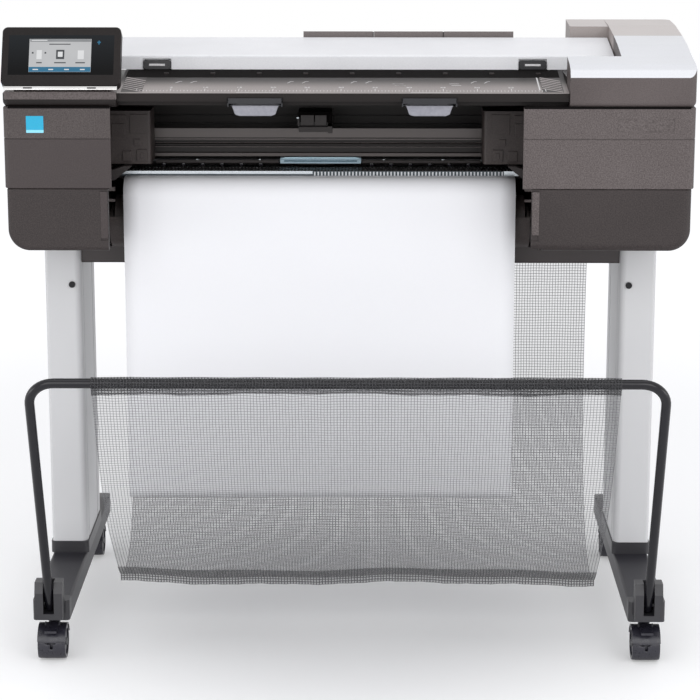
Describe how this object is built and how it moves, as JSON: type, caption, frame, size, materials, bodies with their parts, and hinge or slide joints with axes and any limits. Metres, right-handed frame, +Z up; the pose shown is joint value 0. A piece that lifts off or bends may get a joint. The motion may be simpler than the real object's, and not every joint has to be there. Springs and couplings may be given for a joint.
{
  "type": "large format plotter",
  "caption": "Large format roll printer with a scanner on top, on a wheeled stand with a mesh basket under its hanging sheet.",
  "frame": {"origin": "on the floor, under the middle of the overall width and depth", "axes": "+X along the machine to the operator's right, +Y to its back, +Z up"},
  "size_m": [1.013, 0.7514, 0.9413],
  "materials": {
    "dark_cover": "fine moulded grain",
    "black_part": "satin moulded",
    "white_cover": "fine moulded grain",
    "silver_cover": "silver painted, satin",
    "column_paint": "powder coated, satin",
    "stand_paint": "powder coated, satin black",
    "steel": "ground and polished",
    "roller_rubber": "ground rubber",
    "caster_plastic": "moulded nylon",
    "roll_hub": "moulded",
    "paper": "uncoated white",
    "sling_mesh": "open woven mesh",
    "blue_part": "moulded pale blue",
    "clear_part": "translucent moulded",
    "scan_glass": "polished",
    "panel_glass": "gloss cover glass, black behind",
    "ink_case": "moulded"
  },
  "bodies": {
    "frame": {"back_panel": "dark_cover", "base_pan": "dark_cover", "basket_brackets": "dark_cover", "basket_sling": "sling_mesh", "carriage_beam": "black_part", "carriage_belt": "black_part", "column_base_caps": "dark_cover", "column_screws": "black_part", "cross_rods": "steel", "exit_guide": "steel", "foot_end_caps": "dark_cover", "ink_cartridges": "ink_case", "left_column": "column_paint", "left_foot": "stand_paint", "left_lower_cover": "dark_cover", "left_side_frame": "black_part", "left_upper_cover": "dark_cover", "panel_bracket": "dark_cover", "paper_sheet": "paper", "platen": "black_part", "power_module": "black_part", "raised_back_cover": "dark_cover", "right_column": "column_paint", "right_foot": "stand_paint", "right_lower_cover": "dark_cover", "right_side_frame": "black_part", "right_top_cap": "silver_cover", "right_upper_cover": "dark_cover", "scan_glass": "scan_glass", "scanner_base": "dark_cover", "sling_back_rod": "stand_paint", "stand_crossbar": "stand_paint"},
    "caster_front_left": {"caster_fork_front_left": "caster_plastic"},
    "wheels_front_left": {"caster_wheels_front_left": "caster_plastic"},
    "brake_front_left": {"brake_lever_front_left": "caster_plastic"},
    "caster_front_right": {"caster_fork_front_right": "caster_plastic"},
    "wheels_front_right": {"caster_wheels_front_right": "caster_plastic"},
    "brake_front_right": {"brake_lever_front_right": "caster_plastic"},
    "caster_back_left": {"caster_fork_back_left": "caster_plastic"},
    "wheels_back_left": {"caster_wheels_back_left": "caster_plastic"},
    "caster_back_right": {"caster_fork_back_right": "caster_plastic"},
    "wheels_back_right": {"caster_wheels_back_right": "caster_plastic"},
    "basket_bar": {"basket_bar": "stand_paint"},
    "spindle": {"roll_spindle": "roll_hub", "paper_roll": "paper"},
    "roll_cover": {"roll_cover": "black_part"},
    "feed_roller": {"feed_roller": "roller_rubber"},
    "document_roller": {"document_roller": "roller_rubber"},
    "load_lever": {"load_lever": "blue_part"},
    "carriage": {"carriage": "black_part"},
    "ink_door": {"ink_door": "dark_cover"},
    "scan_lid": {"scan_lid": "white_cover"},
    "left_lid_latch": {"left_lid_latch": "black_part"},
    "right_lid_latch": {"right_lid_latch": "black_part"},
    "left_deflector": {"left_deflector": "clear_part"},
    "right_deflector": {"right_deflector": "clear_part"},
    "sheet_support": {"sheet_support": "silver_cover"},
    "control_panel": {"control_panel": "dark_cover", "panel_screen": "panel_glass"},
    "power_switch": {"power_switch": "black_part"}
  },
  "joints": [
    {"name": "caster_swivel_front_left", "type": "hinge", "parent": "frame", "child": "caster_front_left", "pos_m": [-0.4465, -0.166, 0.064], "axis": [0, 0, 1], "continuous": true},
    {"name": "wheel_roll_front_left", "type": "hinge", "parent": "caster_front_left", "child": "wheels_front_left", "pos_m": [-0.4465, -0.182, 0.025], "axis": [1, 0, 0], "continuous": true},
    {"name": "brake_press_front_left", "type": "hinge", "parent": "caster_front_left", "child": "brake_front_left", "pos_m": [-0.4465, -0.188, 0.05555], "axis": [1, 0, 0], "range_deg": [0, 10]},
    {"name": "caster_swivel_front_right", "type": "hinge", "parent": "frame", "child": "caster_front_right", "pos_m": [0.4465, -0.166, 0.064], "axis": [0, 0, 1], "continuous": true},
    {"name": "wheel_roll_front_right", "type": "hinge", "parent": "caster_front_right", "child": "wheels_front_right", "pos_m": [0.4465, -0.182, 0.025], "axis": [1, 0, 0], "continuous": true},
    {"name": "brake_press_front_right", "type": "hinge", "parent": "caster_front_right", "child": "brake_front_right", "pos_m": [0.4465, -0.188, 0.05555], "axis": [1, 0, 0], "range_deg": [0, 10]},
    {"name": "caster_swivel_back_left", "type": "hinge", "parent": "frame", "child": "caster_back_left", "pos_m": [-0.4465, 0.3417, 0.064], "axis": [0, 0, 1], "continuous": true},
    {"name": "wheel_roll_back_left", "type": "hinge", "parent": "caster_back_left", "child": "wheels_back_left", "pos_m": [-0.4465, 0.3257, 0.025], "axis": [1, 0, 0], "continuous": true},
    {"name": "caster_swivel_back_right", "type": "hinge", "parent": "frame", "child": "caster_back_right", "pos_m": [0.4465, 0.3417, 0.064], "axis": [0, 0, 1], "continuous": true},
    {"name": "wheel_roll_back_right", "type": "hinge", "parent": "caster_back_right", "child": "wheels_back_right", "pos_m": [0.4465, 0.3257, 0.025], "axis": [1, 0, 0], "continuous": true},
    {"name": "basket_fold", "type": "hinge", "parent": "frame", "child": "basket_bar", "pos_m": [0, -0.214, 0.096], "axis": [-1, 0, 0], "range_deg": [0, 22]},
    {"name": "roll_spin", "type": "hinge", "parent": "frame", "child": "spindle", "pos_m": [-0.046, 0.03, 0.637], "axis": [1, 0, 0], "continuous": true},
    {"name": "roll_cover_turn", "type": "hinge", "parent": "frame", "child": "roll_cover", "pos_m": [-0.046, 0.03, 0.637], "axis": [1, 0, 0], "range_deg": [0, 75]},
    {"name": "feed_roller_turn", "type": "hinge", "parent": "frame", "child": "feed_roller", "pos_m": [-0.046, 0.128, 0.696], "axis": [1, 0, 0], "continuous": true},
    {"name": "document_roller_turn", "type": "hinge", "parent": "frame", "child": "document_roller", "pos_m": [-0.011, 0.08, 0.858], "axis": [1, 0, 0], "continuous": true},
    {"name": "load_lever_lift", "type": "hinge", "parent": "frame", "child": "load_lever", "pos_m": [-0.046, 0.078, 0.7205], "axis": [-1, 0, 0], "range_deg": [0, 25]},
    {"name": "carriage_slide", "type": "slide", "parent": "frame", "child": "carriage", "axis": [1, 0, 0], "range_m": [-0.285, 0.3]},
    {"name": "ink_door_drop", "type": "hinge", "parent": "frame", "child": "ink_door", "pos_m": [-0.429, -0.133, 0.615], "axis": [1, 0, 0], "range_deg": [0, 85]},
    {"name": "scan_lid_open", "type": "hinge", "parent": "frame", "child": "scan_lid", "pos_m": [0.029, 0.14, 0.9045], "axis": [-1, 0, 0], "range_deg": [0, 60]},
    {"name": "left_latch_pull", "type": "hinge", "parent": "scan_lid", "child": "left_lid_latch", "pos_m": [-0.293, 0.033, 0.8805], "axis": [-1, 0, 0], "range_deg": [0, 15], "stiffness_Nm_per_rad": 0.02},
    {"name": "right_latch_pull", "type": "hinge", "parent": "scan_lid", "child": "right_lid_latch", "pos_m": [0.277, 0.033, 0.8805], "axis": [-1, 0, 0], "range_deg": [0, 15], "stiffness_Nm_per_rad": 0.02},
    {"name": "left_deflector_swing", "type": "hinge", "parent": "frame", "child": "left_deflector", "pos_m": [-0.1375, -0.118, 0.8323], "axis": [-1, 0, 0], "range_deg": [0, 70]},
    {"name": "right_deflector_swing", "type": "hinge", "parent": "frame", "child": "right_deflector", "pos_m": [0.1175, -0.118, 0.8323], "axis": [-1, 0, 0], "range_deg": [0, 70]},
    {"name": "sheet_support_fold", "type": "hinge", "parent": "frame", "child": "sheet_support", "pos_m": [0.09, 0.15, 0.8883], "axis": [-1, 0, 0], "range_deg": [0, 75]},
    {"name": "panel_tilt", "type": "hinge", "parent": "frame", "child": "control_panel", "pos_m": [-0.41975, -0.111, 0.865], "axis": [-1, 0, 0], "range_deg": [-6, 45]},
    {"name": "power_switch_rock", "type": "hinge", "parent": "frame", "child": "power_switch", "pos_m": [0.377, 0.297, 0.672], "axis": [1, 0, 0], "range_deg": [-7, 7]}
  ]
}
